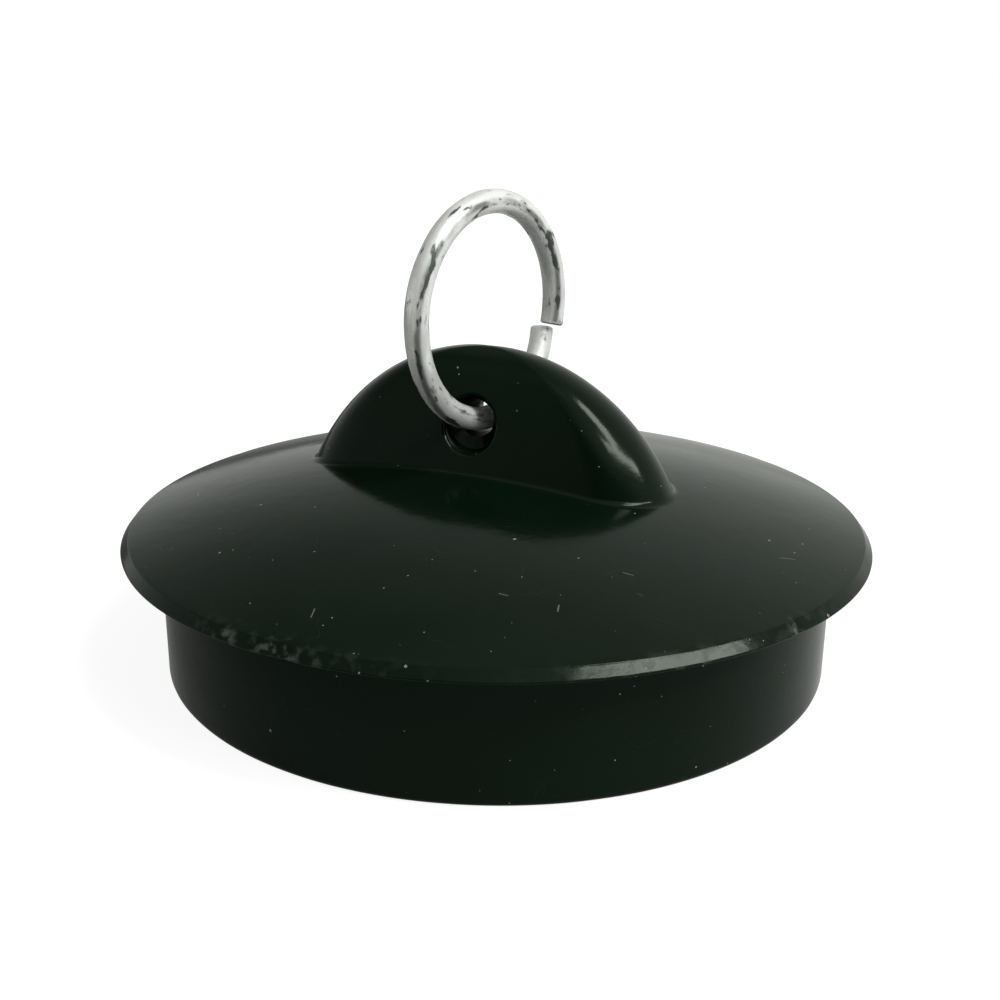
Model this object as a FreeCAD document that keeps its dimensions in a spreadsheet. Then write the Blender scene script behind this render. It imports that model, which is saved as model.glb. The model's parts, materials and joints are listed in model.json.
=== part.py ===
"""Drain stopper: a moulded rubber plug with a domed flange, a hollow skirt and a half-moon lug, and the open
wire ring that passes through the lug's hole.

The origin is the centre of the skirt's foot, on the plug's axis. +Z points up out of the drain, +X runs along
the lug and +Y along the lug's hole. Lengths are in millimetres and angles in degrees.
"""
import FreeCAD, Part
import math
import os

import Sketcher

# Driving sizes: name, value, and what it measures
SIZES = (
    ("rim_radius", 25.0, "outer radius of the flange"),
    ("rim_thickness", 0.73, "height of the flange's outer edge"),
    ("rim_bevel", 0.42, "how far the flange's outer edge leans in over its height"),
    ("rim_rounding", 0.2, "rounding of the rim's upper edge"),
    ("dome_rise", 3.77, "upper edge of the rim to the crown of the dome"),
    ("dome_wall", 3.0, "rubber under the dome"),
    ("skirt_radius", 22.5, "outer radius of the skirt"),
    ("skirt_depth", 8.7, "foot of the skirt to the underside of the flange"),
    ("skirt_wall", 2.8, "thickness of the skirt at its foot"),
    ("skirt_inner_offset", 0.5, "how far the skirt's inner wall leans in"),
    ("foot_rounding", 0.4, "rounding of the skirt's foot"),
    ("ceiling_fillet", 1.6, "fillet where the inner wall meets the ceiling"),
    ("lug_offset", -0.68, "middle of the lug from the plug's axis, along X"),
    ("lug_half_length", 14.7, "half length of the lug's oval outline"),
    ("lug_rise", 7.85, "crown of the dome to the top of the lug"),
    ("lug_sink", 8.4, "crown of the dome down to the middle of the lug's oval outline"),
    ("lug_foot_thickness", 7.5, "thickness of the lug at the crown of the dome"),
    ("lug_ridge_thickness", 4.4, "thickness that the lug tapers to at its top"),
    ("lug_root_fillet", 0.35, "fillet in the crease between lug and dome"),
    ("hole_web", 1.15, "rubber between the crown of the dome and the hole"),
    ("hole_clearance", 1.0, "room round the wire in the middle of the hole"),
    ("hole_lip", 0.3, "rounding of the hole's two mouths"),
    ("wire_radius", 0.8, "radius of the ring's wire"),
    ("ring_radius", 7.1, "middle of the ring to the middle of its wire"),
    ("ring_tail_sweep", 73.5, "turn of the ring's tail from the hole to the cut ends"),
    ("ring_end_offset", 0.75, "how far the tail's end stands aside of the other end"),
    ("ring_end_gap", 0.2, "gap between the ring's cut ends"),
    ("ring_turn_angle", 13.2, "angle from the hole's axis to the ring's plane"),
)

# Levels of the lug's sections, as shares of the way from its root in the dome's wall up to its top
LUG_LEVEL_SHARES = (0, 0.25, 0.5, 0.7, 0.85, 0.94, 0.98, 0.996)
# The higher this power, the tighter the rounding along the lug's ridge
RIDGE_POWER = 6
# How near an edge lies to where it is looked for, as a share of the thinnest wall
SEARCH_SHARE = 0.25

# The sketcher's numbers for its own origin and axes, and for the points of a curve
X_AXIS, Z_AXIS = range(-1, -3, -1)
ORIGIN = X_AXIS
START, END, CENTRE = range(1, 4)

# Formulas for the sheet's users
RIM_HEIGHT = "(Sizes.skirt_depth + Sizes.rim_thickness)"
CROWN = f"({RIM_HEIGHT} + Sizes.dome_rise)"
DOME_REACH = "(Sizes.rim_radius - Sizes.rim_bevel)"
DOME_RADIUS = f"(({DOME_REACH} ^ 2 + Sizes.dome_rise ^ 2) / (2 * Sizes.dome_rise))"
LUG_TOP = f"({CROWN} + Sizes.lug_rise)"
OVAL_MIDDLE = f"({CROWN} - Sizes.lug_sink)"
OVAL_HALF_HEIGHT = "(Sizes.lug_rise + Sizes.lug_sink)"
HOLE_RADIUS = "(Sizes.wire_radius + Sizes.hole_clearance)"
HOLE_HEIGHT = f"({CROWN} + Sizes.hole_web + {HOLE_RADIUS})"

doc = FreeCAD.newDocument("drain_stopper")
sheet = doc.addObject("Spreadsheet::Sheet", "Sizes")
for row, (alias, value, meaning) in enumerate(SIZES, start=1):
    sheet.set(f"A{row}", meaning)
    sheet.set(f"B{row}", str(value))
    sheet.setAlias(f"B{row}", alias)
doc.recompute()


def size(name):
    """A driving size as a plain number."""
    return float(getattr(sheet, name))


def vector(x, y, z=0):
    return FreeCAD.Vector(x, y, z)


def new_body(label):
    body = doc.addObject("PartDesign::Body", label)
    body.Label = label
    return body


def new_sketch(body, name, role):
    """A sketch on one of the body's own origin planes."""
    plane = next(item for item in body.Origin.OriginFeatures if item.Role == role)
    sketch = body.newObject("Sketcher::SketchObject", name)
    sketch.AttachmentSupport = [(plane, "")]
    sketch.MapMode = "FlatFace"
    return sketch


def constrain(sketch, *constraint):
    return sketch.addConstraint(Sketcher.Constraint(*constraint))


def drive(sketch, name, formula, *constraint):
    """Add a dimension to a sketch and bind it to the sheet."""
    index = constrain(sketch, *constraint)
    sketch.renameConstraint(index, name)
    sketch.setExpression(f"Constraints.{name}", formula)


def line(start, end):
    return Part.LineSegment(vector(*start), vector(*end))


def circle(centre, radius):
    return Part.Circle(vector(*centre), vector(0, 0, 1), radius)


def arc_about(centre, start, end):
    """An arc that runs counter-clockwise from start to end about its centre."""
    angles = [math.atan2(point[1] - centre[1], point[0] - centre[0]) for point in (start, end)]
    return Part.ArcOfCircle(circle(centre, math.dist(centre, start)), *angles)


def round_edges(body, name, radius_name, test):
    """Fillet the edges of the body's newest feature that pass the test."""
    base = body.Tip
    numbered = enumerate(base.Shape.Edges, start=1)
    names = [f"Edge{number}" for number, edge in numbered if not edge.Degenerated and test(edge)]
    if not names:
        raise RuntimeError(f"{name}: no edge to round")
    fillet = body.newObject("PartDesign::Fillet", name)
    fillet.Base = (base, names)
    fillet.setExpression("Radius", f"Sizes.{radius_name}")
    doc.recompute()


# Rubber stopper: the turned shell
stopper = new_body("rubber_stopper")

rim_radius = size("rim_radius")
dome_reach = rim_radius - size("rim_bevel")
rim_foot = size("skirt_depth")
rim_thickness = size("rim_thickness")
rim_height = rim_foot + rim_thickness
crown = rim_height + size("dome_rise")
dome_radius = (dome_reach ** 2 + size("dome_rise") ** 2) / (2 * size("dome_rise"))
dome_middle = crown - dome_radius
skirt_outer = size("skirt_radius")
skirt_inner = skirt_outer - size("skirt_wall")
ceiling = crown - size("dome_wall")
inner_offset = size("skirt_inner_offset")
ceiling_edge = skirt_inner - inner_offset
ceiling_edge_height = dome_middle + math.sqrt((dome_radius - size("dome_wall")) ** 2 - ceiling_edge ** 2)
close = SEARCH_SHARE * min(rim_thickness, size("skirt_wall"), size("dome_wall"))

profile = new_sketch(stopper, "shell_profile", "XZ_Plane")
dome = profile.addGeometry(arc_about((0, dome_middle), (dome_reach, rim_height), (0, crown)))
rim = profile.addGeometry(line((dome_reach, rim_height), (rim_radius, rim_foot)))
seat = profile.addGeometry(line((rim_radius, rim_foot), (skirt_outer, rim_foot)))
skirt = profile.addGeometry(line((skirt_outer, rim_foot), (skirt_outer, 0)))
foot = profile.addGeometry(line((skirt_outer, 0), (skirt_inner, 0)))
inner = profile.addGeometry(line((skirt_inner, 0), (ceiling_edge, ceiling_edge_height)))
under = profile.addGeometry(arc_about((0, dome_middle), (ceiling_edge, ceiling_edge_height), (0, ceiling)))
axis = profile.addGeometry(line((0, ceiling), (0, crown)))

constrain(profile, "Coincident", dome, START, rim, START)
constrain(profile, "Coincident", rim, END, seat, START)
constrain(profile, "Coincident", seat, END, skirt, START)
constrain(profile, "Coincident", skirt, END, foot, START)
constrain(profile, "Coincident", foot, END, inner, START)
constrain(profile, "Coincident", inner, END, under, START)
constrain(profile, "Coincident", under, END, axis, START)
constrain(profile, "Coincident", axis, END, dome, END)
constrain(profile, "Coincident", under, CENTRE, dome, CENTRE)
constrain(profile, "PointOnObject", dome, CENTRE, Z_AXIS)
constrain(profile, "PointOnObject", axis, START, Z_AXIS)
constrain(profile, "PointOnObject", axis, END, Z_AXIS)
constrain(profile, "PointOnObject", foot, START, X_AXIS)
constrain(profile, "PointOnObject", foot, END, X_AXIS)
constrain(profile, "Vertical", skirt)
constrain(profile, "Horizontal", seat)

drive(profile, "rim_radius", "Sizes.rim_radius", "DistanceX", ORIGIN, START, rim, END, rim_radius)
drive(profile, "rim_bevel", "Sizes.rim_bevel", "DistanceX", rim, START, rim, END, size("rim_bevel"))
drive(profile, "skirt_depth", "Sizes.skirt_depth", "DistanceY", ORIGIN, START, rim, END, rim_foot)
drive(profile, "rim_thickness", "Sizes.rim_thickness", "DistanceY", rim, END, rim, START, rim_thickness)
drive(profile, "dome_rise", "Sizes.dome_rise", "DistanceY", rim, START, dome, END, size("dome_rise"))
drive(profile, "dome_wall", "Sizes.dome_wall", "DistanceY", axis, START, axis, END, size("dome_wall"))
drive(profile, "skirt_radius", "Sizes.skirt_radius", "DistanceX", ORIGIN, START, skirt, START, skirt_outer)
drive(profile, "skirt_wall", "Sizes.skirt_wall", "DistanceX", foot, END, foot, START, size("skirt_wall"))
drive(profile, "inner_lean", "Sizes.skirt_inner_offset", "DistanceX", inner, END, inner, START, inner_offset)

shell = stopper.newObject("PartDesign::Revolution", "shell")
shell.Profile = profile
shell.ReferenceAxis = (profile, ["V_Axis"])
doc.recompute()


def circle_at(*places):
    """A test for round edges about the plug's axis, given as pairs of radius and height."""
    def test(edge):
        if not isinstance(edge.Curve, Part.Circle):
            return False
        found = (edge.Curve.Radius, edge.Curve.Center.z)
        return any(math.dist(found, place) < close for place in places)
    return test


round_edges(stopper, "round_foot", "foot_rounding", circle_at((skirt_outer, 0), (skirt_inner, 0)))
round_edges(stopper, "round_rim", "rim_rounding", circle_at((dome_reach, rim_height)))
round_edges(stopper, "round_ceiling", "ceiling_fillet", circle_at((ceiling_edge, ceiling_edge_height)))

# Rubber stopper: the half-moon lug, a loft through rounded sections that shorten and thin towards the top
LUG_END_DROP = f"({DOME_RADIUS} - sqrt({DOME_RADIUS} ^ 2 - Sizes.lug_half_length ^ 2))"
LUG_ROOT = f"({CROWN} - ({LUG_END_DROP} + Sizes.dome_wall) / 2)"

lug_end_drop = dome_radius - math.sqrt(dome_radius ** 2 - size("lug_half_length") ** 2)
lug_root = crown - (lug_end_drop + size("dome_wall")) / 2
lug_top = crown + size("lug_rise")


def lug_section(number, level_share):
    """One level section of the lug: two straight sides and two round ends."""
    height = lug_root + level_share * (lug_top - lug_root)
    oval_share = (height - crown + size("lug_sink")) / (size("lug_rise") + size("lug_sink"))
    taper_share = (height - crown) / size("lug_rise")
    thickness = size("lug_foot_thickness") * (1 - taper_share) + size("lug_ridge_thickness") * taper_share
    half_thickness = thickness * math.sqrt(1 - oval_share ** RIDGE_POWER) / 2
    half_straight = size("lug_half_length") * math.sqrt(1 - oval_share ** 2) - half_thickness

    level = f"({LUG_ROOT} + {level_share} * ({LUG_TOP} - {LUG_ROOT}))"
    oval = f"(({level} - {OVAL_MIDDLE}) / {OVAL_HALF_HEIGHT})"
    taper = f"(({level} - {CROWN}) / Sizes.lug_rise)"
    full = f"(Sizes.lug_foot_thickness * (1 - {taper}) + Sizes.lug_ridge_thickness * {taper})"
    half = f"({full} * sqrt(1 - {oval} ^ {RIDGE_POWER}) / 2)"
    reach = f"(Sizes.lug_half_length * sqrt(1 - {oval} ^ 2))"

    sketch = new_sketch(stopper, f"lug_section_{number}", "XY_Plane")
    sketch.setExpression("AttachmentOffset.Base.x", "Sizes.lug_offset")
    sketch.setExpression("AttachmentOffset.Base.z", level)
    near_right = (half_straight, -half_thickness)
    far_right = (half_straight, half_thickness)
    far_left = (-half_straight, half_thickness)
    near_left = (-half_straight, -half_thickness)
    near = sketch.addGeometry(line(near_left, near_right))
    right = sketch.addGeometry(arc_about((half_straight, 0), near_right, far_right))
    far = sketch.addGeometry(line(far_right, far_left))
    left = sketch.addGeometry(arc_about((-half_straight, 0), far_left, near_left))
    constrain(sketch, "Tangent", near, END, right, START)
    constrain(sketch, "Tangent", right, END, far, START)
    constrain(sketch, "Tangent", far, END, left, START)
    constrain(sketch, "Tangent", left, END, near, START)
    constrain(sketch, "Horizontal", near)
    constrain(sketch, "PointOnObject", right, CENTRE, X_AXIS)
    constrain(sketch, "Symmetric", left, CENTRE, right, CENTRE, ORIGIN, START)
    drive(sketch, "half_thickness", half, "Radius", right, half_thickness)
    straight = f"{reach} - {half}"
    drive(sketch, "half_straight", straight, "DistanceX", ORIGIN, START, right, CENTRE, half_straight)
    return sketch


sections = [lug_section(number, share) for number, share in enumerate(LUG_LEVEL_SHARES)]
doc.recompute()
lug = stopper.newObject("PartDesign::AdditiveLoft", "lug")
lug.Profile = sections[0]
lug.Sections = sections[1:]
doc.recompute()


def is_lug_crease(edge):
    """True for the edges where the lug's sides meet the dome."""
    halfway = edge.valueAt((edge.FirstParameter + edge.LastParameter) / 2)
    off_dome = abs(halfway.distanceToPoint(vector(0, 0, dome_middle)) - dome_radius)
    from_lug = math.hypot(halfway.x - size("lug_offset"), halfway.y)
    return off_dome < close and from_lug < size("lug_half_length")


round_edges(stopper, "round_crease", "lug_root_fillet", is_lug_crease)

# Rubber stopper: the hole through the lug, with its mouths rounded
hole_radius = size("wire_radius") + size("hole_clearance")
hole_height = crown + size("hole_web") + hole_radius
hole_outline = new_sketch(stopper, "hole_outline", "XZ_Plane")
hole_outline.setExpression("AttachmentOffset.Base.x", "Sizes.lug_offset")
mouth = hole_outline.addGeometry(circle((0, hole_height), hole_radius))
constrain(hole_outline, "PointOnObject", mouth, CENTRE, Z_AXIS)
drive(hole_outline, "hole_radius", HOLE_RADIUS, "Radius", mouth, hole_radius)
drive(hole_outline, "hole_height", HOLE_HEIGHT, "DistanceY", ORIGIN, START, mouth, CENTRE, hole_height)

volume_before = stopper.Shape.Volume
hole = stopper.newObject("PartDesign::Pocket", "lug_hole")
hole.Profile = hole_outline
hole.Type = "ThroughAll"
hole.SideType = "Symmetric"
doc.recompute()
if stopper.Shape.Volume >= volume_before:
    raise RuntimeError("the lug's hole cut nothing")


def is_hole_mouth(edge):
    """True for the edges where the hole breaks out of the lug's sides."""
    ends = (edge.FirstParameter, edge.LastParameter)
    points = [edge.valueAt(ends[0] + (ends[1] - ends[0]) * share) for share in LUG_LEVEL_SHARES]
    reaches = [math.hypot(point.x - size("lug_offset"), point.z - hole_height) for point in points]
    off_wall = max(abs(reach - hole_radius) for reach in reaches)
    runs_through = max(point.y for point in points) * min(point.y for point in points) < 0
    return off_wall < close and not runs_through


round_edges(stopper, "round_hole", "hole_lip", is_hole_mouth)

# Lift ring: a flat turn of wire over the top, and a short tail behind the lug that is bent a little aside
ring = new_body("lift_ring")

LEAN = "asin(Sizes.ring_end_offset / (Sizes.ring_radius * (1 - cos(Sizes.ring_tail_sweep))))"
GAP_ANGLE = "(Sizes.ring_end_gap / Sizes.ring_radius * 180 / pi)"

ring_radius = size("ring_radius")
tail_reach = ring_radius * (1 - math.cos(math.radians(size("ring_tail_sweep"))))
tail_lean = math.asin(size("ring_end_offset") / tail_reach)


def wire_turn(name, lean, sweep, backwards):
    """A length of wire that starts in the lug's hole and turns about the middle of the ring."""
    sketch = new_sketch(ring, f"{name}_wire", "XZ_Plane")
    middle = (-ring_radius * math.sin(lean), ring_radius * math.cos(lean))
    tip = (middle[0] + middle[1], middle[1] - middle[0])
    section = sketch.addGeometry(circle((0, 0), size("wire_radius")))
    spoke = sketch.addGeometry(line((0, 0), middle), True)
    pivot = sketch.addGeometry(line(middle, tip), True)
    constrain(sketch, "Coincident", section, CENTRE, ORIGIN, START)
    constrain(sketch, "Coincident", spoke, START, ORIGIN, START)
    constrain(sketch, "Coincident", pivot, START, spoke, END)
    constrain(sketch, "Perpendicular", pivot, spoke)
    constrain(sketch, "Equal", pivot, spoke)
    drive(sketch, "wire_radius", "Sizes.wire_radius", "Radius", section, size("wire_radius"))
    reach = "Sizes.ring_radius"
    if lean:
        aside = f"{reach} * sin({LEAN})"
        reach = f"{reach} * cos({LEAN})"
        drive(sketch, "aside", aside, "DistanceX", spoke, END, ORIGIN, START, -middle[0])
    else:
        constrain(sketch, "PointOnObject", spoke, END, Z_AXIS)
    drive(sketch, "reach", reach, "DistanceY", ORIGIN, START, spoke, END, middle[1])
    turn = ring.newObject("PartDesign::Revolution", name)
    turn.Profile = sketch
    turn.ReferenceAxis = (sketch, ["Axis1"])
    turn.setExpression("Angle", sweep)
    turn.Reversed = backwards
    doc.recompute()


wire_turn("main_turn", 0, f"360 - Sizes.ring_tail_sweep - {GAP_ANGLE}", True)
wire_turn("tail", tail_lean, "Sizes.ring_tail_sweep", False)

# The ring stands upright in the hole, turned a little from the hole's axis, with its cut ends behind the lug
ring_turn = FreeCAD.Rotation(vector(0, 0, -1), size("ring_turn_angle"))
ring.Placement = FreeCAD.Placement(vector(size("lug_offset"), 0, hole_height), ring_turn)
ring.setExpression("Placement.Base.x", "Sizes.lug_offset")
ring.setExpression("Placement.Base.z", HOLE_HEIGHT)
ring.setExpression("Placement.Rotation.Angle", "Sizes.ring_turn_angle")
doc.recompute()

# Every feature must have built before anything is written
for item in doc.Objects:
    if "Invalid" in item.State or "Error" in item.State:
        raise RuntimeError(f"{item.Label} failed: {item.State}")
sub_parts = (stopper, ring)
for body in sub_parts:
    if body.Shape.isNull() or not body.Shape.isValid() or len(body.Shape.Solids) != 1:
        raise RuntimeError(f"{body.Label} isn't one sound solid")

os.makedirs("parts", exist_ok=True)
for body in sub_parts:
    body.Shape.exportStep(f"parts/{body.Label}.step")
    box = body.Shape.optimalBoundingBox()
    print(f"{body.Label}: volume {body.Shape.Volume:.1f} mm3, X {box.XMin:.2f} to {box.XMax:.2f}, "
          f"Y {box.YMin:.2f} to {box.YMax:.2f}, Z {box.ZMin:.2f} to {box.ZMax:.2f}")
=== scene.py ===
import json
import math

import bpy
import numpy as np
from mathutils import Matrix, Vector, noise


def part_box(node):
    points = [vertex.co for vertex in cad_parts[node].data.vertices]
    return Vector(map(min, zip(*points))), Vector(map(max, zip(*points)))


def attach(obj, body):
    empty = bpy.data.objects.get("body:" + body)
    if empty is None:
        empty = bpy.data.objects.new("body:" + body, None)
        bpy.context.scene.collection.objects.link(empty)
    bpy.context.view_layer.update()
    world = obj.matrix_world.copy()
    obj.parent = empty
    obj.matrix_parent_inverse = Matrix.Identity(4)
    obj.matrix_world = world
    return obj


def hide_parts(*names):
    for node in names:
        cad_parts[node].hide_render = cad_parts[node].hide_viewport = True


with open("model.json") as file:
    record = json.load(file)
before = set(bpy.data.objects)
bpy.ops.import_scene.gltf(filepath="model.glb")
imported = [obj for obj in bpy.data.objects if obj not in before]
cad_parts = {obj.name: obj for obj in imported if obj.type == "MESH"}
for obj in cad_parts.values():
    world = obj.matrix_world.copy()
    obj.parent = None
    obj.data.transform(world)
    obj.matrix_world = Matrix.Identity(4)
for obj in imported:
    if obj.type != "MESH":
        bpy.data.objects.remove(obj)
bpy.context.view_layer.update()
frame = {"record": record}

# Sizes of the moulding in metres, from the frame where it holds them
mounts = {mount["name"]: mount for mount in frame["record"]["mounts"]}
stopper_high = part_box("rubber_stopper")[1]
RIM_RADIUS = stopper_high.x
LUG_TOP = stopper_high.z
SKIRT_RADIUS = mounts["skirt"]["dims"]["r_mm"] / 1000
RIM_FOOT = mounts["flange_seat"]["pos_m"][2]
LUG_OFFSET = mounts["chain_ring"]["pos_m"][0]
RIM_THICKNESS = 0.00073
RIM_BEVEL = 0.00042
RIM_FACE_LEAN = 39
RIM_ROUNDING = 0.00015
RIM_UNDER_ROUNDING = 0.0001
SEAT_FILLET = 0.00025
DOME_RISE = 0.00377
DOME_WALL = 0.003
SKIRT_WALL = 0.0028
SKIRT_TAPER = 0.0005
FOOT_ROUNDING = 0.0004
CEILING_FILLET = 0.0016
LUG_HALF_LENGTH = 0.0147
LUG_SINK = 0.0084
LUG_FOOT_THICKNESS = 0.0075
LUG_RIDGE_THICKNESS = 0.0044
LUG_ROOT_FILLET = 0.00035
RIDGE_POWER = 6
HOLE_RADIUS = 0.0018
HOLE_WEB = 0.00115
HOLE_LIP = 0.0003
HOLE_LIP_SHARE = 0.85
# The hole's narrow middle, as distance from the lug's middle, radius and lift, and its turn in degrees
HOLE_THROAT = ((0.0006, 0.00115, 0.00027), (0.0016, 0.00128, 0.00027), (0.0021, 0.00175, 0.00003))
HOLE_THROAT_TURN = 4.5

RIM_HEIGHT = RIM_FOOT + RIM_THICKNESS
CROWN = RIM_HEIGHT + DOME_RISE
DOME_RADIUS = ((RIM_RADIUS - RIM_BEVEL) ** 2 + DOME_RISE ** 2) / (2 * DOME_RISE)
DOME_MIDDLE = CROWN - DOME_RADIUS
OVAL_MIDDLE = CROWN - LUG_SINK
OVAL_HALF_HEIGHT = LUG_TOP - OVAL_MIDDLE
HOLE_HEIGHT = CROWN + HOLE_WEB + HOLE_RADIUS

# Sizes of the wire ring in metres and degrees
WIRE_RADIUS = 0.0008
RING_RADIUS = 0.0071
RING_TAIL_SWEEP = 73.5
RING_END_OFFSET = 0.00075
RING_END_GAP = 0.0002
RING_TURN = 13.2
WIRE_END_ROUNDING = 0.00012
WIRE_DENT = 0.00003
WIRE_DENTS_PER_METRE = 900
# Where the painted dark reflection streak starts round the wire, in radians, and how far it turns in a metre
REFLECTION_STREAK_START = -2.08
REFLECTION_STREAK_TWIST = 59.5

# How far the moulding's skin wanders, and the width of the rim's band of wear and painted highlight
SKIN_WANDER = 0.00002
SKIN_WAVES_PER_METRE = 260
RIM_WEAR_WIDTH = 0.0006
WEAR_PATCHES_PER_METRE = 140
CHIP_WEAR = 1.6

# Worn stretches of the rim, one of them a painted highlight: turn and spread in degrees, and strength
WORN_AND_HIGHLIGHT_STRETCHES = (
    (-93.0, 13.0, 1.0),
    # A paler stretch where the lamp's highlight falls on the rim's bevel: painted highlight as well as wear
    (-43.0, 11.0, 0.8),
    (-20.0, 8.0, 0.4),
    (60.0, 14.0, 0.6),
    (165.0, 16.0, 0.7),
)

# Chips in the rim: turn in degrees, width and depth
CHIPS = (
    (-91.0, 0.0006, 0.00014),
    (-94.0, 0.0004, 0.00010),
    (-101.0, 0.0005, 0.00008),
    (-22.0, 0.0004, 0.00009),
    (57.0, 0.0006, 0.00012),
    (96.0, 0.0005, 0.00010),
    (171.0, 0.0007, 0.00010),
)

# Scuffs on the dome: turn in degrees and reach of each end, and half width
SCUFFS = (
    ((-64.0, 0.0185), (-62.5, 0.0187), 0.00004),
    ((-8.0, 0.0205), (-6.0, 0.0212), 0.00004),
    ((-92.0, 0.0215), (-91.4, 0.0222), 0.00005),
    ((-40.0, 0.0174), (-38.6, 0.0178), 0.00004),
    ((-55.0, 0.0202), (-54.5, 0.0197), 0.00006),
    ((140.0, 0.0190), (144.0, 0.0197), 0.00004),
    ((75.0, 0.0165), (73.5, 0.0176), 0.00005),
    ((205.0, 0.0205), (207.0, 0.0203), 0.00005),
)

# Counts of points round and along the meshes, and the angle over which an edge is shaded sharp
SHARP_ANGLE = 40
SPOKES = 480
SPOKE_CROWDING = 0.55
WALL_RINGS = 80
CREASE_RINGS = 8
DOME_RINGS = 44
HOLE_SPOKES = 96
HOLE_LIP_RINGS = 9
WIRE_SIDES = 40
WIRE_RINGS = 420

# Counts of points along the turned profile, in the order it is drawn
RIM_POINTS = 7, 8, 8
SEAT_POINTS = 8, 6
FOOT_POINTS = 24, 8
INNER_POINTS = 6, 8
CEILING_POINTS = 16, 10, 26

# The photograph's camera
CAMERA_PLACE = Vector((0.03702, -0.07757, 0.03895))
CAMERA_AZIMUTH = math.radians(25.38)
CAMERA_ELEVATION = math.radians(18.41)
CAMERA_ROLL = math.radians(0.522)
CAMERA_LENS = 47.66
CAMERA_RIGHT = Vector((math.cos(CAMERA_AZIMUTH), math.sin(CAMERA_AZIMUTH), 0))
CAMERA_BACK = Vector((math.sin(CAMERA_AZIMUTH), -math.cos(CAMERA_AZIMUTH), 0))

# How pale the floor looks to the camera and in mirrors, and the distances over which it pales and over which
# its glow in mirrors is painted shade, darker towards the camera's side and the left
FLOOR_SIZE = 3.0
FLOOR_SEEN = 0.9
FLOOR_PALES = 0.06, 0.30
FLOOR_MIRRORED = 0.54
FLOOR_SHADE_FORWARD = 0.045, 0.085
FLOOR_SHADE_LEFT = -0.06, 0.03
FLOOR_LEFT_SHARE = 0.15

# The studio's walls in mirrors: grey by the sine of the height, and where one wall gives way to the other
LEFT_WALL = ((0.0, 0.80), (0.17, 0.70), (0.34, 0.50), (0.5, 0.37), (0.64, 0.32), (0.8, 0.26), (0.91, 0.6))
RIGHT_WALL = ((0.0, 0.85), (0.2, 0.80), (0.5, 0.80), (0.7, 0.80), (0.9, 0.65))
WALLS_MEET = -0.4, 0.4
DIM_BEHIND_CAMERA = 0.15
DIM_SPREAD = 0.45, 0.85
OVERHEAD_GAIN = 1.7
OVERHEAD_SPREAD = 0.1, 0.45
OVERHEAD_RISE = 0.4, 0.7

# Light on matt surfaces, and the lamps: turn from the camera's side, rise and tilt, width, height and power
WORLD_FILL = 0.32
STUDIO_TINT = 0.965, 1.0, 0.94, 1
OBJECT_MIDDLE = Vector((0, 0, 0.012))
LAMP_DISTANCE = 0.6
LAMPS = {
    "low_strip": (57, 41, -21, 0.46, 0.06, 1.9),
    "high_strip": (60, 57, 0, 0.14, 0.27, 2.4),
}


def new_piece(name, points, faces):
    mesh = bpy.data.meshes.new(name)
    mesh.from_pydata([tuple(point) for point in points], [], faces)
    mesh.update()
    piece = bpy.data.objects.new(name, mesh)
    bpy.context.scene.collection.objects.link(piece)
    return piece


def smooth(piece, crease_degrees):
    """Shade a piece smooth, with edges sharper than the given angle left sharp."""
    piece.data.shade_smooth()
    piece.data.set_sharp_from_angle(angle=math.radians(crease_degrees))


def set_attribute(piece, name, kind, field, values):
    """Give each point of a piece a named value for its material to read."""
    attribute = piece.data.attributes.new(name, kind, "POINT")
    attribute.data.foreach_set(field, np.asarray(values, dtype=np.float32).ravel())


def strips(ring_count, spoke_count):
    """Quads between neighbouring rings of points, each ring closed."""
    faces = []
    for ring in range(ring_count - 1):
        low = ring * spoke_count
        high = low + spoke_count
        for spoke in range(spoke_count):
            following = (spoke + 1) % spoke_count
            faces.append((low + spoke, high + spoke, high + following, low + following))
    return faces


# Rubber stopper

def dome_height(x, y):
    return DOME_MIDDLE + np.sqrt(DOME_RADIUS ** 2 - x ** 2 - y ** 2)


def lug_section(height):
    """Half thickness and half length of the straight sides of the lug's level section."""
    oval = np.clip((height - OVAL_MIDDLE) / OVAL_HALF_HEIGHT, 0, 1)
    taper = (height - CROWN) / (LUG_TOP - CROWN)
    thickness = LUG_FOOT_THICKNESS + (LUG_RIDGE_THICKNESS - LUG_FOOT_THICKNESS) * taper
    half = thickness / 2 * np.sqrt(1 - oval ** RIDGE_POWER)
    return half, LUG_HALF_LENGTH * np.sqrt(1 - oval ** 2) - half


def about_lug(reach, spokes):
    """Points at a reach from the lug's axis, one on each spoke."""
    return LUG_OFFSET + reach * np.cos(spokes), reach * np.sin(spokes)


def lug_reach(along, across, height):
    """How far the lug's wall stands from the lug's own axis, in the direction (along, across)."""
    half, straight = lug_section(height)
    to_side = half / np.maximum(across, 1e-9)
    to_end = straight * along + np.sqrt(np.maximum(half ** 2 - (straight * across) ** 2, 0))
    return np.where(to_side * along <= straight, to_side, to_end)


def lug_facing(along, across, height):
    """Cosine between the lug's wall and the spoke, seen from above."""
    half, straight = lug_section(height)
    reach = lug_reach(along, across, height)
    return np.where(half * along <= straight * across, across, (reach - straight * along) / half)


def crease_height(spokes, along, across):
    """Height at which the lug's wall meets the dome, for each spoke."""
    low = np.full_like(along, CROWN - DOME_WALL)
    high = np.full_like(along, CROWN)
    for _ in range(48):
        middle = (low + high) / 2
        x, y = about_lug(lug_reach(along, across, middle), spokes)
        above_dome = dome_height(x, y) < middle
        high = np.where(above_dome, middle, high)
        low = np.where(above_dome, low, middle)
    return (low + high) / 2


def arc(centre, radius, start, end, count):
    """Points of a profile's arc, as pairs of radius and height."""
    angles = np.radians(np.linspace(start, end, count))
    return [(centre[0] + radius * math.cos(a), centre[1] + radius * math.sin(a)) for a in angles]


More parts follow.
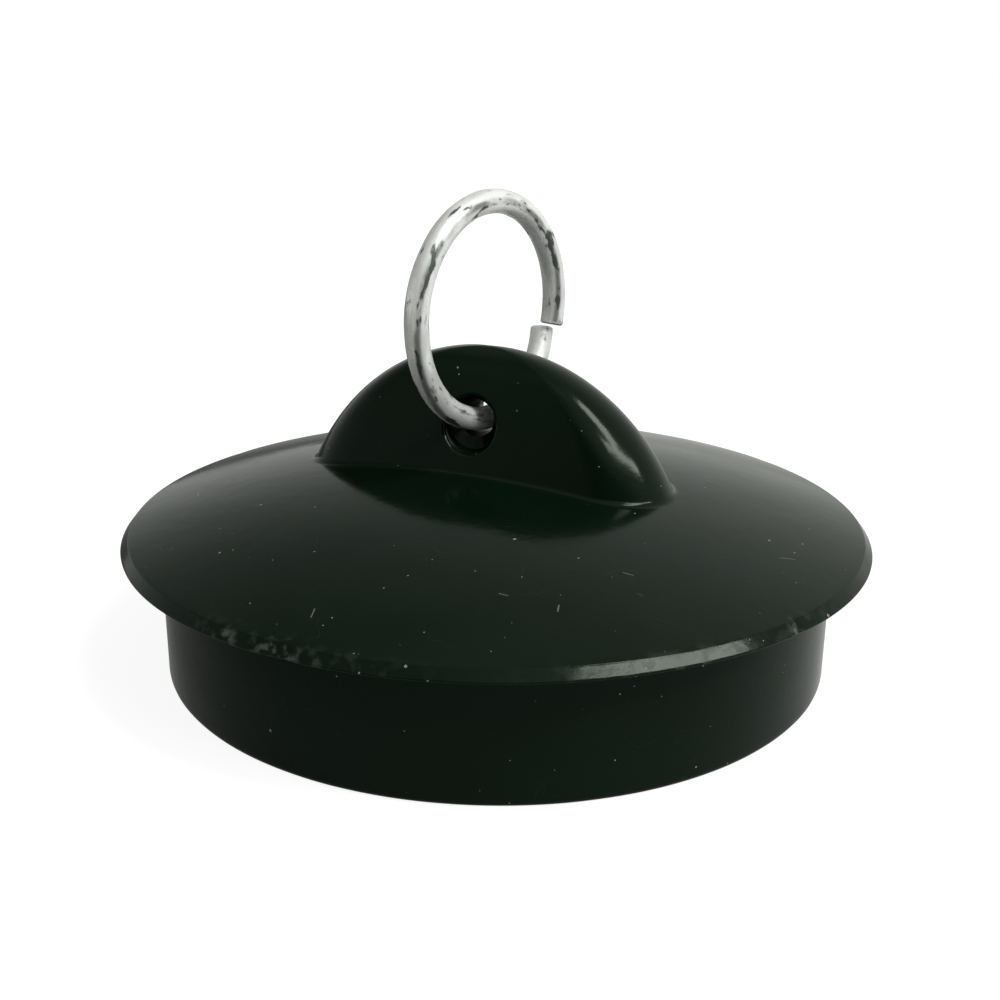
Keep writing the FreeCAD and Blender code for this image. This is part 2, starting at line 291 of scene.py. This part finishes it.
def run(start, end, count):
    """Points of a profile's straight run, without its two ends."""
    shares = np.linspace(0, 1, count + 2)[1:-1]
    return [(start[0] + (end[0] - start[0]) * s, start[1] + (end[1] - start[1]) * s) for s in shares]


def rim_edge():
    """Centres of the roundings above and below the rim's sloped face, and where the upper one starts."""
    slope = math.radians(RIM_FACE_LEAN)
    outward = Vector((math.cos(slope), math.sin(slope)))
    upward = Vector((-math.sin(slope), math.cos(slope)))
    lower = Vector((RIM_RADIUS - RIM_UNDER_ROUNDING, RIM_FOOT + RIM_UNDER_ROUNDING))
    foot = lower + outward * (RIM_UNDER_ROUNDING - RIM_ROUNDING) - Vector((0, DOME_MIDDLE))
    halfway = foot.dot(upward)
    spare = foot.length_squared - (DOME_RADIUS - RIM_ROUNDING) ** 2
    upper = foot + upward * (math.sqrt(halfway ** 2 - spare) - halfway)
    return upper + Vector((0, DOME_MIDDLE)), lower, math.degrees(math.atan2(upper.y, upper.x))


def turned_profile():
    """The turned part of the moulding, from the rim's upper rounding round to the middle of the ceiling."""
    rim_centre, under_centre, rim_start = rim_edge()
    inner_foot = SKIRT_RADIUS - SKIRT_WALL
    ceiling_radius = DOME_RADIUS - DOME_WALL
    inner_top = inner_foot - SKIRT_TAPER
    fillet_reach = inner_top - CEILING_FILLET
    fillet_height = DOME_MIDDLE + math.sqrt((ceiling_radius - CEILING_FILLET) ** 2 - fillet_reach ** 2)
    fillet_end = math.degrees(math.atan2(fillet_height - DOME_MIDDLE, fillet_reach))

    points = arc(rim_centre, RIM_ROUNDING, rim_start, RIM_FACE_LEAN, RIM_POINTS[0])
    under = arc(under_centre, RIM_UNDER_ROUNDING, RIM_FACE_LEAN, -90, RIM_POINTS[2])
    points += run(points[-1], under[0], RIM_POINTS[1]) + under
    seat_centre = SKIRT_RADIUS + SEAT_FILLET, RIM_FOOT - SEAT_FILLET
    seat = arc(seat_centre, SEAT_FILLET, 90, 180, SEAT_POINTS[1])
    points += run(points[-1], seat[0], SEAT_POINTS[0]) + seat
    foot = arc((SKIRT_RADIUS - FOOT_ROUNDING, FOOT_ROUNDING), FOOT_ROUNDING, 0, -90, FOOT_POINTS[1])
    points += run(points[-1], foot[0], FOOT_POINTS[0]) + foot
    inner = arc((inner_foot + FOOT_ROUNDING, FOOT_ROUNDING), FOOT_ROUNDING, -90, -180, INNER_POINTS[1])
    points += run(points[-1], inner[0], INNER_POINTS[0]) + inner
    ceiling = arc((fillet_reach, fillet_height), CEILING_FILLET, 0, fillet_end, CEILING_POINTS[1])
    points += run(points[-1], ceiling[0], CEILING_POINTS[0]) + ceiling
    reaches = points[-1][0] * (1 - np.linspace(0, 1, CEILING_POINTS[2])[1:-1])
    points += [(r, DOME_MIDDLE + math.sqrt(ceiling_radius ** 2 - r ** 2)) for r in reaches]
    return points, DOME_MIDDLE + ceiling_radius


def stopper_mesh():
    """The whole moulding as rings of points, from the top of the lug round to the middle of the ceiling."""
    turns = np.linspace(0, 2 * math.pi, SPOKES, endpoint=False)
    spokes = turns - SPOKE_CROWDING * np.sin(2 * turns) / 2
    along, across = np.abs(np.cos(spokes)), np.abs(np.sin(spokes))

    crease = crease_height(spokes, along, across)
    wall_foot = crease + LUG_ROOT_FILLET
    crease_reach = lug_reach(along, across, crease)
    dome_start = crease_reach + LUG_ROOT_FILLET / np.maximum(lug_facing(along, across, crease), 0.1)

    rings = []
    foot_slope = np.arcsin((wall_foot - OVAL_MIDDLE) / OVAL_HALF_HEIGHT)
    for share in np.linspace(0, 1, WALL_RINGS + 1)[1:]:
        slope = math.pi / 2 + share * (foot_slope - math.pi / 2)
        height = OVAL_MIDDLE + OVAL_HALF_HEIGHT * np.sin(slope)
        rings.append((*about_lug(lug_reach(along, across, height), spokes), height))
    upper = rings[-1]
    corner = (*about_lug(crease_reach, spokes), crease)
    dome_edge = about_lug(dome_start, spokes)
    lower = (*dome_edge, dome_height(*dome_edge))
    for share in np.linspace(0, 1, CREASE_RINGS + 2)[1:]:
        weights = (1 - share) ** 2, 2 * share * (1 - share), share ** 2
        ends = zip(upper, corner, lower)
        rings.append([weights[0] * a + weights[1] * b + weights[2] * c for a, b, c in ends])
    profile, ceiling = turned_profile()
    rim = (profile[0][0] * np.cos(spokes), profile[0][0] * np.sin(spokes))
    for share in np.linspace(0, 1, DOME_RINGS + 1)[1:-1]:
        x, y = [a + share * (b - a) for a, b in zip(dome_edge, rim)]
        rings.append((x, y, dome_height(x, y)))
    for reach, height in profile:
        rings.append((reach * np.cos(spokes), reach * np.sin(spokes), np.full(SPOKES, height)))

    points = [(LUG_OFFSET, 0, LUG_TOP), (0, 0, ceiling)]
    for ring in rings:
        points += list(zip(*ring))
    faces = [tuple(index + 2 for index in face) for face in strips(len(rings), SPOKES)]
    last = 2 + (len(rings) - 1) * SPOKES
    for spoke in range(SPOKES):
        following = (spoke + 1) % SPOKES
        faces.append((0, 2 + spoke, 2 + following))
        faces.append((1, last + following, last + spoke))
    return points, faces


def lug_lean(height):
    """Half the lug's thickness at a height, and how fast its side leans in there."""
    below, half, above = [lug_section(height + step)[0] for step in (-HOLE_LIP, 0, HOLE_LIP)]
    return half, (below - above) / (2 * HOLE_LIP)


def hole_cutter():
    """A closed solid the shape of the lug's hole, flared at its two mouths and narrow between them."""
    turns = np.linspace(0, 2 * math.pi, HOLE_SPOKES, endpoint=False)
    lip_shares = np.linspace(0, HOLE_LIP_SHARE, HOLE_LIP_RINGS)
    rings = []
    for side in (-1, 1):
        mouth = [[] for _ in range(len(lip_shares) + 1)]
        for turn in turns:
            spoke = Vector((math.cos(turn), 0, math.sin(turn)))
            centre = spoke * (HOLE_RADIUS + HOLE_LIP)
            wall, lean = lug_lean(HOLE_HEIGHT + centre.z)
            outward = Vector((0, 1, lean)).normalized()
            centre.y = wall - HOLE_LIP / outward.y
            for ring, share in zip(mouth, lip_shares):
                ring.append(centre + HOLE_LIP * (-spoke).slerp(outward, share))
            mouth[-1].append(mouth[-2][-1] + outward * 2 * HOLE_LIP)
        for away, radius, lift in HOLE_THROAT[::-1]:
            aside = side * away * math.tan(math.radians(HOLE_THROAT_TURN))
            ring = [Vector((radius * math.cos(t) + aside, away, radius * math.sin(t) + lift)) for t in turns]
            mouth.insert(0, ring)
        rings += [[(p.x + LUG_OFFSET, side * p.y, p.z + HOLE_HEIGHT) for p in ring] for ring in mouth[::side]]
    points = [point for ring in rings for point in ring]
    faces = strips(len(rings), HOLE_SPOKES)
    faces.append(tuple(range(HOLE_SPOKES))[::-1])
    faces.append(tuple(range(len(points) - HOLE_SPOKES, len(points))))
    return new_piece("hole_cutter", points, faces)


def cut(piece, cutter):
    """Take the cutter out of a piece, and the cutter out of the scene."""
    modifier = piece.modifiers.new("cut", "BOOLEAN")
    modifier.operation = "DIFFERENCE"
    modifier.solver = "EXACT"
    modifier.object = cutter
    whole = piece.evaluated_get(bpy.context.evaluated_depsgraph_get())
    mesh = bpy.data.meshes.new_from_object(whole)
    piece.modifiers.clear()
    piece.data = mesh
    bpy.data.objects.remove(cutter)


def apart(turn, other):
    """Degrees from one turn to another, by the shorter way round."""
    return (turn - other + 180) % 360 - 180


def settle(piece):
    """Let the moulding's surface wander a hair inwards, chip its rim, and mark where the rim is worn and
    where a highlight is painted on it.
    """
    mesh = piece.data
    places = np.empty(len(mesh.vertices) * 3)
    normals = np.empty_like(places)
    mesh.vertices.foreach_get("co", places)
    mesh.vertices.foreach_get("normal", normals)
    places, normals = places.reshape(-1, 3), normals.reshape(-1, 3)
    waves = [noise.noise(Vector(place) * SKIN_WAVES_PER_METRE) for place in places]
    sink = [SKIN_WANDER * (1 + wave) / 2 for wave in waves]
    places = places - normals * np.array(sink)[:, None]

    reach = np.hypot(places[:, 0], places[:, 1])
    turn = np.degrees(np.arctan2(places[:, 1], places[:, 0]))
    above_skirt = places[:, 2] > RIM_FOOT - RIM_WEAR_WIDTH
    on_rim = np.exp(-((reach - RIM_RADIUS) / RIM_WEAR_WIDTH) ** 2) * above_skirt
    patchy = np.array([noise.noise(Vector(place) * WEAR_PATCHES_PER_METRE) for place in places])
    wear_and_highlight = np.zeros(len(places))
    for stretch_turn, spread, strength in WORN_AND_HIGHLIGHT_STRETCHES:
        near = np.exp(-(apart(turn, stretch_turn) / spread) ** 2)
        wear_and_highlight = np.maximum(wear_and_highlight, on_rim * near * strength * np.clip(0.5 + patchy, 0, 1))
    for chip_turn, chip_width, depth in CHIPS:
        aside = np.radians(apart(turn, chip_turn)) * RIM_RADIUS
        bite = np.exp(-(aside / chip_width) ** 2) * on_rim
        places[:, :2] -= (depth * bite / np.maximum(reach, 1e-6))[:, None] * places[:, :2]
        wear_and_highlight = np.maximum(wear_and_highlight, CHIP_WEAR * bite)
    mesh.vertices.foreach_set("co", places.ravel())
    mesh.update()
    set_attribute(piece, "wear_and_highlight", "FLOAT", "value", wear_and_highlight)


# Lift ring

def ring_path():
    """Points along the wire, from the tail's cut end through the hole to the other, and the ring's axis."""
    turn = math.radians(RING_TURN)
    through = Vector((math.sin(turn), math.cos(turn), 0))
    aside = Vector((math.cos(turn), -math.sin(turn), 0))
    hole = Vector((LUG_OFFSET, 0, HOLE_HEIGHT))
    sweep = math.radians(RING_TAIL_SWEEP)
    lean = math.asin(RING_END_OFFSET / (RING_RADIUS * (1 - math.cos(sweep))))
    to_tail_middle = RING_RADIUS * (math.cos(lean) * Vector((0, 0, 1)) - math.sin(lean) * aside)
    to_middle = RING_RADIUS * Vector((0, 0, 1))
    main_sweep = 2 * math.pi - sweep - RING_END_GAP / RING_RADIUS
    points = []
    for angle in np.linspace(sweep, -main_sweep, WIRE_RINGS):
        spoke = to_tail_middle if angle > 0 else to_middle
        points.append(hole + spoke * (1 - math.cos(angle)) + through * RING_RADIUS * math.sin(angle))
    return points, aside


def ring_mesh():
    """The wire as a tube with rounded cut ends, and each point's place along and round the wire."""
    path, side = ring_path()
    spans = [(after - before).length for before, after in zip(path, path[1:])]
    walked = np.concatenate([[0], np.cumsum(spans)])
    points, places, ends = [], [], []
    for index, middle in enumerate(path):
        ahead = path[min(index + 1, len(path) - 1)] - path[max(index - 1, 0)]
        ahead.normalize()
        side = (side - ahead * side.dot(ahead)).normalized()
        other = ahead.cross(side)
        to_end = min(walked[index], walked[-1] - walked[index])
        shy = max(WIRE_END_ROUNDING - to_end, 0)
        radius = WIRE_RADIUS - WIRE_END_ROUNDING + math.sqrt(WIRE_END_ROUNDING ** 2 - shy ** 2)
        for turn in np.linspace(0, 2 * math.pi, WIRE_SIDES, endpoint=False):
            spoke = math.cos(turn) * side + math.sin(turn) * other
            place = (walked[index], WIRE_RADIUS * math.cos(turn), WIRE_RADIUS * math.sin(turn))
            dent = WIRE_DENT * (1 + noise.noise(Vector(place) * WIRE_DENTS_PER_METRE)) / 2
            points.append(middle + (radius - dent) * spoke)
            places.append(place)
            ends.append(float(to_end < WIRE_END_ROUNDING))
    faces = strips(len(path), WIRE_SIDES)
    faces.append(tuple(range(WIRE_SIDES)))
    faces.append(tuple(range(len(points) - WIRE_SIDES, len(points)))[::-1])
    return points, faces, places, ends


# Materials

def new_material(name):
    """An empty node material, with its nodes, its links and its output."""
    material = bpy.data.materials.new(name)
    material.use_nodes = True
    tree = material.node_tree
    tree.nodes.clear()
    return material, tree, tree.nodes.new("ShaderNodeOutputMaterial")


def add_node(tree, kind, inputs, **settings):
    """Add a node, give it its settings, and link or set its inputs."""
    node = tree.nodes.new(f"ShaderNode{kind}")
    for name, value in settings.items():
        setattr(node, name, value)
    for key, value in inputs.items():
        if isinstance(value, bpy.types.NodeSocket):
            tree.links.new(value, node.inputs[key])
        else:
            node.inputs[key].default_value = value
    return node


def calc(tree, operation, first, second):
    return add_node(tree, "Math", {0: first, 1: second}, operation=operation).outputs[0]


def vector_calc(tree, operation, first, second):
    return add_node(tree, "VectorMath", {0: first, 1: second}, operation=operation)


def remap(tree, value, low, high, to_low=0.0, to_high=1.0):
    """A smooth, clamped change of range."""
    inputs = {"Value": value, "From Min": low, "From Max": high, "To Min": to_low, "To Max": to_high}
    return add_node(tree, "MapRange", inputs, interpolation_type="SMOOTHSTEP").outputs[0]


def noise_at(tree, place, scale, detail=2.0):
    return add_node(tree, "TexNoise", {"Vector": place, "Scale": scale, "Detail": detail}).outputs["Fac"]


def blend(tree, share, first, second):
    """A colour between two colours."""
    return add_node(tree, "MixRGB", {0: share, 1: first, 2: second}).outputs[0]


def stretch(tree, place, turn, scales):
    """Places turned and scaled, to draw a texture out along a line."""
    inputs = {"Vector": place, "Rotation": turn, "Scale": scales}
    return add_node(tree, "Mapping", inputs).outputs[0]


def dust(tree, place, scale, kept, largest):
    """Sparse specks of many sizes: 1 in a speck and 0 round it."""
    cells = add_node(tree, "TexVoronoi", {"Vector": place, "Scale": scale})
    parts = add_node(tree, "SeparateColor", {0: cells.outputs["Color"]})
    radius = calc(tree, "MULTIPLY", parts.outputs[0], largest)
    inside = calc(tree, "LESS_THAN", cells.outputs["Distance"], radius)
    chosen = calc(tree, "LESS_THAN", parts.outputs[1], kept)
    return calc(tree, "MULTIPLY", inside, chosen)


def hairlines(tree, place, turn, scales, width, cover):
    """Broken thin lines along the contours of a drawn-out noise."""
    drawn = noise_at(tree, stretch(tree, place, turn, scales), 1.0, 1.0)
    off_line = calc(tree, "ABSOLUTE", calc(tree, "SUBTRACT", drawn, 0.5), 0.0)
    line = remap(tree, off_line, width, 0.0)
    patch = noise_at(tree, place, 210.0, 1.0)
    return calc(tree, "MULTIPLY", line, remap(tree, patch, cover, cover + 0.06))


def stroke(tree, place, start, end, width):
    """A straight scratch: 1 along its middle and 0 outside its width."""
    along = end - start
    offset = vector_calc(tree, "SUBTRACT", place, start).outputs[0]
    share = vector_calc(tree, "DOT_PRODUCT", offset, along / along.length_squared).outputs["Value"]
    share = add_node(tree, "Clamp", {0: share}).outputs[0]
    foot = add_node(tree, "VectorMath", {0: along, "Scale": share}, operation="SCALE").outputs[0]
    away = vector_calc(tree, "DISTANCE", offset, foot).outputs["Value"]
    return remap(tree, away, width, 0.0)


def on_dome(turn, reach):
    """A place on the dome, from its turn in degrees and its reach from the plug's axis."""
    x, y = reach * math.cos(math.radians(turn)), reach * math.sin(math.radians(turn))
    return Vector((x, y, dome_height(x, y)))


def rubber_material():
    """Black rubber with a mottled bloom, moulding grain, dust, hairlines, scuffs, and a worn rim with a
    painted highlight.
    """
    material, tree, output = new_material("black_rubber")
    place = add_node(tree, "TexCoord", {}).outputs["Object"]
    mottle = noise_at(tree, place, 170.0, 5.0)
    grain = noise_at(tree, place, 3200.0, 3.0)
    pores = noise_at(tree, place, 900.0, 2.0)

    coarse_dust = dust(tree, place, 620.0, 0.36, 0.07)
    fine_dust = dust(tree, place, 1500.0, 0.34, 0.09)
    specks = calc(tree, "MAXIMUM", coarse_dust, fine_dust)
    lines = hairlines(tree, place, (0.3, 0.2, 0.5), (50.0, 1100.0, 700.0), 0.0022, 0.55)
    swirls = hairlines(tree, place, (0.1, 0.4, 2.0), (110.0, 230.0, 170.0), 0.0012, 0.52)
    scratches = calc(tree, "MAXIMUM", lines, swirls)

    wear_and_highlight = add_node(tree, "Attribute", {}, attribute_name="wear_and_highlight").outputs["Fac"]
    chafed_and_highlight = calc(tree, "MULTIPLY", wear_and_highlight, remap(tree, noise_at(tree, place, 1300.0, 4.0), 0.47, 0.66))
    scuffs = None
    for start, end, width in SCUFFS:
        mark = stroke(tree, place, on_dome(*start), on_dome(*end), width)
        scuffs = mark if scuffs is None else calc(tree, "MAXIMUM", scuffs, mark)

    colour = blend(tree, mottle, (0.0009, 0.0044, 0.0020, 1), (0.0021, 0.0070, 0.0036, 1))
    colour = blend(tree, calc(tree, "MULTIPLY", scratches, 0.03), colour, (0.30, 0.32, 0.30, 1))
    # Paler chafed rubber on the rim; on the stretch under the lamp's highlight it is a painted highlight
    colour = blend(tree, calc(tree, "MULTIPLY", chafed_and_highlight, 0.14), colour, (0.34, 0.37, 0.34, 1))
    colour = blend(tree, calc(tree, "MULTIPLY", scuffs, 0.35), colour, (0.42, 0.44, 0.42, 1))
    colour = blend(tree, calc(tree, "MULTIPLY", specks, 0.30), colour, (0.52, 0.54, 0.51, 1))

    rough = remap(tree, mottle, 0.3, 0.7, 0.11, 0.16)
    rough = calc(tree, "ADD", rough, calc(tree, "MULTIPLY", calc(tree, "MAXIMUM", chafed_and_highlight, specks), 0.35))
    rough = calc(tree, "ADD", rough, calc(tree, "MULTIPLY", scratches, 0.12))

    height = calc(tree, "ADD", calc(tree, "MULTIPLY", grain, 0.35), pores)
    height = calc(tree, "SUBTRACT", height, calc(tree, "MULTIPLY", scratches, 0.6))
    bump = add_node(tree, "Bump", {"Strength": 0.05, "Distance": 0.0002, "Height": height})

    shader = add_node(tree, "BsdfPrincipled", {
        "Base Color": colour,
        "Roughness": rough,
        "Specular IOR Level": 0.11,
        "Specular Tint": (0.88, 1.0, 0.86, 1),
        "Normal": bump.outputs[0],
    })
    tree.links.new(shader.outputs[0], output.inputs["Surface"])
    return material


def wire_material():
    """Dull plating over drawn wire, with drawing lines, pale patches, dark spots, and a painted dark
    reflection along a twisted line.
    """
    material, tree, output = new_material("plated_wire")
    place = add_node(tree, "Attribute", {}, attribute_name="wire_place").outputs["Vector"]
    drawn = noise_at(tree, stretch(tree, place, (0, 0, 0), (260.0, 5200.0, 5200.0)), 1.0, 3.0)
    dull = noise_at(tree, stretch(tree, place, (0, 0, 0), (420.0, 900.0, 900.0)), 1.0, 3.0)
    spots = noise_at(tree, stretch(tree, place, (0, 0, 0), (800.0, 2100.0, 2100.0)), 1.0, 5.0)
    parts = add_node(tree, "SeparateXYZ", {0: place})
    turn = calc(tree, "ARCTAN2", parts.outputs["Z"], parts.outputs["Y"])
    twist = calc(tree, "ADD", calc(tree, "MULTIPLY", parts.outputs["X"], REFLECTION_STREAK_TWIST), REFLECTION_STREAK_START)
    off_line = calc(tree, "ABSOLUTE", calc(tree, "SUBTRACT", turn, twist), 0.0)
    reflection_line = remap(tree, off_line, 0.55, 0.05, 0.0, 0.13)
    spots_and_reflection = remap(tree, calc(tree, "ADD", spots, reflection_line), 0.575, 0.715)
    broken = remap(tree, dull, 0.36, 0.56, 0.25, 0.8)
    painted_reflection = calc(tree, "MULTIPLY", remap(tree, off_line, 0.42, 0.08), broken)
    spots_and_reflection = calc(tree, "MAXIMUM", spots_and_reflection, painted_reflection)
    cut_end = add_node(tree, "Attribute", {}, attribute_name="cut_end").outputs["Fac"]

    colour = blend(tree, remap(tree, dull, 0.35, 0.65), (0.76, 0.77, 0.75, 1), (0.60, 0.61, 0.59, 1))
    # Dark spots, and a painted reflection of the studio's dark side as a broken dark streak along the twisted
    # line
    colour = blend(tree, calc(tree, "MULTIPLY", spots_and_reflection, 0.95), colour, (0.014, 0.024, 0.018, 1))
    colour = blend(tree, calc(tree, "MULTIPLY", cut_end, 0.6), colour, (0.80, 0.80, 0.78, 1))
    rough = remap(tree, dull, 0.3, 0.7, 0.22, 0.38)
    rough = calc(tree, "ADD", rough, calc(tree, "MULTIPLY", calc(tree, "MAXIMUM", spots_and_reflection, cut_end), 0.2))
    height = calc(tree, "ADD", calc(tree, "MULTIPLY", drawn, 0.4), calc(tree, "MULTIPLY", spots, -0.8))
    bump = add_node(tree, "Bump", {"Strength": 0.35, "Distance": 0.0001, "Height": height})
    shader = add_node(tree, "BsdfPrincipled", {
        "Base Color": colour,
        "Metallic": 0.42,
        "Roughness": rough,
        "Normal": bump.outputs[0],
    })
    tree.links.new(shader.outputs[0], output.inputs["Surface"])
    return material


# Pieces of the object

stopper = new_piece("rubber_stopper_skin", *stopper_mesh())
cut(stopper, hole_cutter())
settle(stopper)
smooth(stopper, SHARP_ANGLE)
stopper.data.materials.clear()
stopper.data.materials.append(rubber_material())
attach(stopper, "stopper")
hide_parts("rubber_stopper")

wire_points, wire_faces, wire_places, wire_ends = ring_mesh()
ring = new_piece("lift_ring_wire", wire_points, wire_faces)
set_attribute(ring, "wire_place", "FLOAT_VECTOR", "vector", wire_places)
set_attribute(ring, "cut_end", "FLOAT", "value", wire_ends)
smooth(ring, SHARP_ANGLE)
ring.data.materials.append(wire_material())
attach(ring, "ring")
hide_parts("lift_ring")
# The photograph shows no mirror image of the ring in the rubber
ring.visible_glossy = False


# Studio

def seen_directly(tree):
    """1 for rays from the camera, a mirror or a glass, and 1 for rays from the camera alone."""
    path = add_node(tree, "LightPath", {})
    mirrored = calc(tree, "MAXIMUM", path.outputs["Is Glossy Ray"], path.outputs["Is Transmission Ray"])
    return calc(tree, "MAXIMUM", path.outputs["Is Camera Ray"], mirrored), path.outputs["Is Camera Ray"]


def add_floor():
    corners = [(x * FLOOR_SIZE, y * FLOOR_SIZE, 0) for x, y in ((-1, -1), (1, -1), (1, 1), (-1, 1))]
    floor = new_piece("floor", corners, [(0, 1, 2, 3)])
    material, tree, output = new_material("floor")
    seen, by_camera = seen_directly(tree)
    place = add_node(tree, "TexCoord", {}).outputs["Object"]
    nearer = vector_calc(tree, "DOT_PRODUCT", place, CAMERA_BACK).outputs["Value"]
    rightward = vector_calc(tree, "DOT_PRODUCT", place, CAMERA_RIGHT).outputs["Value"]
    # In mirrors the floor's glow is painted shade: darker on the camera's side and on the left, as if out of
    # the light
    dim = remap(tree, nearer, *FLOOR_SHADE_FORWARD, FLOOR_MIRRORED, FLOOR_MIRRORED * DIM_BEHIND_CAMERA)
    dim = calc(tree, "MULTIPLY", dim, remap(tree, rightward, *FLOOR_SHADE_LEFT, FLOOR_LEFT_SHARE, 1.0))
    away = vector_calc(tree, "LENGTH", place, (0, 0, 0)).outputs["Value"]
    pale = remap(tree, away, *FLOOR_PALES, FLOOR_SEEN, 1.0)
    strength = add_node(tree, "Mix", {0: by_camera, 2: dim, 3: pale}).outputs[0]
    colour = blend(tree, by_camera, STUDIO_TINT, (1, 1, 1, 1))
    glow = add_node(tree, "Emission", {"Color": colour, "Strength": strength})
    matt = blend(tree, by_camera, (0.08, 0.08, 0.08, 1), (0.22, 0.22, 0.22, 1))
    shaded = add_node(tree, "BsdfDiffuse", {"Color": matt})
    shown = add_node(tree, "AddShader", {0: glow.outputs[0], 1: shaded.outputs[0]})
    plain = add_node(tree, "BsdfDiffuse", {"Color": (0.8, 0.8, 0.8, 1)})
    mix = add_node(tree, "MixShader", {0: seen, 1: plain.outputs[0], 2: shown.outputs[0]})
    tree.links.new(mix.outputs[0], output.inputs["Surface"])
    floor.data.materials.append(material)


def ramp(tree, value, stops):
    """A grey that follows a value through pairs of place and grey."""
    node = add_node(tree, "ValToRGB", {0: value})
    elements = node.color_ramp.elements
    while len(elements) < len(stops):
        elements.new(1.0)
    for element, (place, grey) in zip(elements, stops):
        element.position = place
        element.color = (grey, grey, grey, 1)
    return node.outputs[0]


def add_world():
    """White behind the object, and in mirrors a soft studio, paler on the right and dim low down in front."""
    world = bpy.data.worlds.new("studio")
    bpy.context.scene.world = world
    world.use_nodes = True
    tree = world.node_tree
    tree.nodes.clear()
    output = tree.nodes.new("ShaderNodeOutputWorld")
    seen, by_camera = seen_directly(tree)
    way = add_node(tree, "TexCoord", {}).outputs["Generated"]
    rise = add_node(tree, "SeparateXYZ", {0: way}).outputs["Z"]
    rightward = vector_calc(tree, "DOT_PRODUCT", way, CAMERA_RIGHT).outputs["Value"]
    backward = vector_calc(tree, "DOT_PRODUCT", way, CAMERA_BACK).outputs["Value"]
    left_wall = ramp(tree, rise, LEFT_WALL)
    right_wall = ramp(tree, rise, RIGHT_WALL)
    walls = blend(tree, remap(tree, rightward, *WALLS_MEET), left_wall, right_wall)
    dim = remap(tree, backward, *DIM_SPREAD, 1.0, DIM_BEHIND_CAMERA)
    overhead = remap(tree, backward, *OVERHEAD_SPREAD, 1.0, OVERHEAD_GAIN)
    dim = calc(tree, "MAXIMUM", dim, remap(tree, rise, *OVERHEAD_RISE, 0.0, overhead))
    studio = calc(tree, "MULTIPLY", walls, dim)
    backdrop = calc(tree, "MAXIMUM", studio, by_camera)
    strength = add_node(tree, "Mix", {0: seen, 2: WORLD_FILL, 3: backdrop}).outputs[0]
    colour = blend(tree, by_camera, STUDIO_TINT, (1, 1, 1, 1))
    background = add_node(tree, "Background", {"Color": colour, "Strength": strength})
    tree.links.new(background.outputs[0], output.inputs["Surface"])


def add_lamp(name, turn, rise, tilt, width, height, power):
    """A strip lamp that faces the object, placed by its turn from the camera's side, rise and tilt."""
    lamp = bpy.data.objects.new(name, bpy.data.lights.new(name, "AREA"))
    bpy.context.scene.collection.objects.link(lamp)
    lamp.data.shape = "RECTANGLE"
    lamp.data.size = width
    lamp.data.size_y = height
    lamp.data.energy = power
    turn, rise = math.radians(turn), math.radians(rise)
    level = CAMERA_BACK * math.cos(turn) + CAMERA_RIGHT * math.sin(turn)
    way = level * math.cos(rise) + Vector((0, 0, math.sin(rise)))
    facing = way.to_track_quat("Z", "Y").to_matrix().to_4x4() @ Matrix.Rotation(math.radians(tilt), 4, "Z")
    lamp.matrix_world = Matrix.Translation(OBJECT_MIDDLE + way * LAMP_DISTANCE) @ facing


def add_camera():
    camera = bpy.data.objects.new("camera", bpy.data.cameras.new("camera"))
    bpy.context.scene.collection.objects.link(camera)
    camera.data.lens = CAMERA_LENS
    camera.data.clip_start = 0.001
    turn = Matrix.Rotation(CAMERA_AZIMUTH, 4, "Z")
    tilt = Matrix.Rotation(math.pi / 2 - CAMERA_ELEVATION, 4, "X")
    roll = Matrix.Rotation(CAMERA_ROLL, 4, "Z")
    camera.matrix_world = Matrix.Translation(CAMERA_PLACE) @ turn @ tilt @ roll
    bpy.context.scene.camera = camera


add_floor()
add_world()
for lamp_name, lamp_values in LAMPS.items():
    add_lamp(lamp_name, *lamp_values)
add_camera()
bpy.context.scene.view_settings.view_transform = "Standard"
